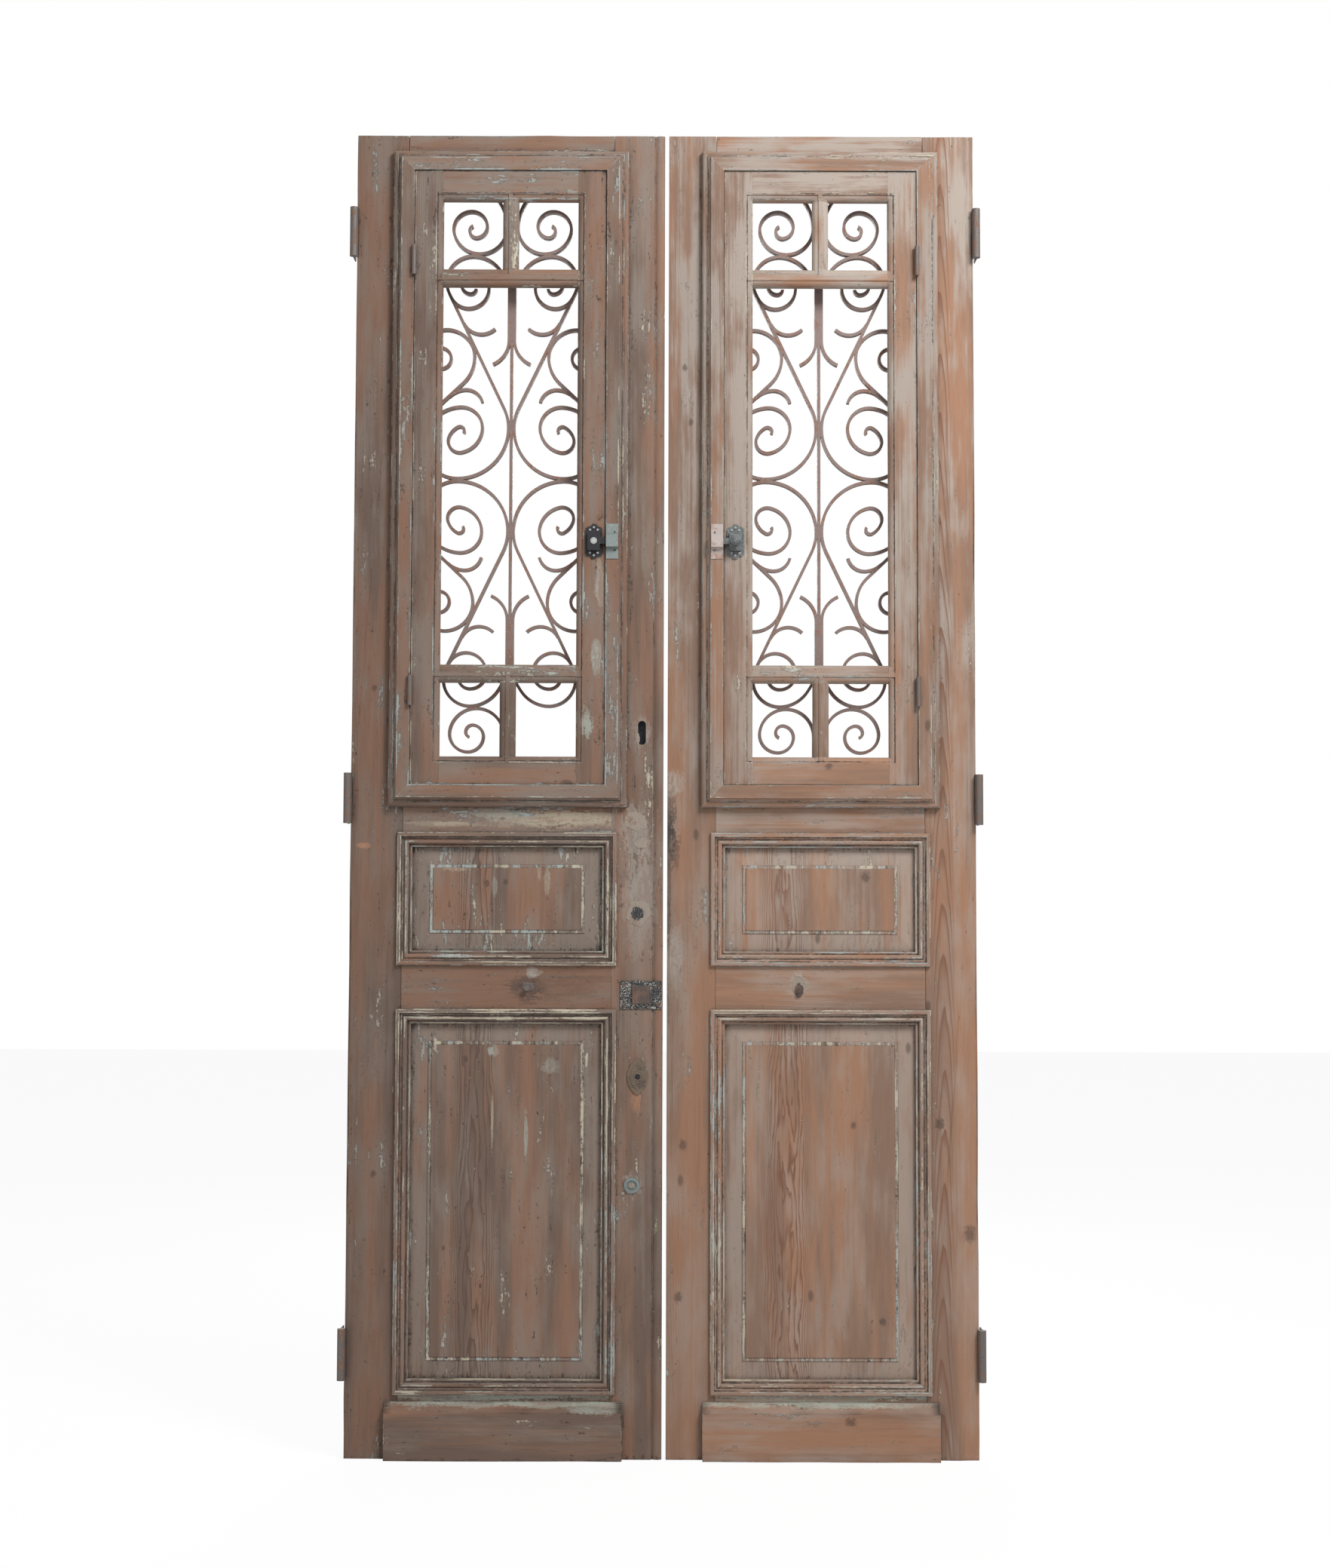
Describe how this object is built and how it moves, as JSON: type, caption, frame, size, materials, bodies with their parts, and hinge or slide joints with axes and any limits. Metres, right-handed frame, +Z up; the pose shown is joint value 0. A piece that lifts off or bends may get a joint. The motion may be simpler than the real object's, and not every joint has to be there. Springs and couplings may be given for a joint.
{
  "type": "pair of panelled timber entry door leaves with iron grilles",
  "caption": "Tall double entry door: panelled pine leaves, each with a mitred casing, a sash with glazing bars and a scrolled wrought-iron grille, hung on lift-off hinges.",
  "frame": {"origin": "middle of the flat back of the lower left jamb hinge plate, where it meets the jamb", "axes": "+X from the left jamb to the right one, +Y outwards from the room side, +Z up"},
  "size_m": [1.27, 0.108, 2.637],
  "materials": {
    "left_timber": "dark stripped pine with pale paint residue",
    "right_timber": "lighter stripped pine with some paint residue",
    "wrought_iron": "rusty brown wrought iron",
    "black_iron": "worn black enamel",
    "keeper_strip": "dull grey zinc",
    "old_bronze": "brown, unpolished",
    "hinge_iron": "rusty iron"
  },
  "bodies": {
    "jambs": {"left_jamb_hinges": "hinge_iron", "right_jamb_hinges": "hinge_iron"},
    "left_leaf": {"left_hinge_stile": "left_timber", "left_lock_stile": "left_timber", "left_bottom_rail": "left_timber", "left_lock_rail": "left_timber", "left_sill_rail": "left_timber", "left_top_rail": "left_timber", "left_large_panel": "left_timber", "left_small_panel": "left_timber", "left_large_panel_mouldings": "left_timber", "left_small_panel_mouldings": "left_timber", "left_casing_stiles": "left_timber", "left_casing_rails": "left_timber", "left_sash_stiles": "left_timber", "left_sash_rails": "left_timber", "left_sash_bars": "left_timber", "left_kick_board": "left_timber", "left_grille": "wrought_iron", "left_door_hinges": "hinge_iron", "left_sash_hinges": "hinge_iron", "left_latch": "black_iron", "left_latch_keeper": "keeper_strip", "left_knob_plate": "black_iron", "left_key_escutcheon": "old_bronze", "left_cylinder_lock": "old_bronze"},
    "right_leaf": {"right_hinge_stile": "right_timber", "right_lock_stile": "right_timber", "right_bottom_rail": "right_timber", "right_lock_rail": "right_timber", "right_sill_rail": "right_timber", "right_top_rail": "right_timber", "right_large_panel": "right_timber", "right_small_panel": "right_timber", "right_large_panel_mouldings": "right_timber", "right_small_panel_mouldings": "right_timber", "right_casing_stiles": "right_timber", "right_casing_rails": "right_timber", "right_sash_stiles": "right_timber", "right_sash_rails": "right_timber", "right_sash_bars": "right_timber", "right_kick_board": "right_timber", "right_grille": "wrought_iron", "right_door_hinges": "hinge_iron", "right_sash_hinges": "hinge_iron", "right_latch": "black_iron", "right_latch_keeper": "keeper_strip", "right_strike_plate": "hinge_iron"}
  },
  "joints": [
    {"name": "left_leaf_swing", "type": "hinge", "parent": "jambs", "child": "left_leaf", "pos_m": [0.0025, -0.024, 0], "axis": [0, 0, -1], "range_deg": [0, 110]},
    {"name": "right_leaf_swing", "type": "hinge", "parent": "jambs", "child": "right_leaf", "pos_m": [1.2565, -0.024, 0], "axis": [0, 0, 1], "range_deg": [0, 110]}
  ]
}
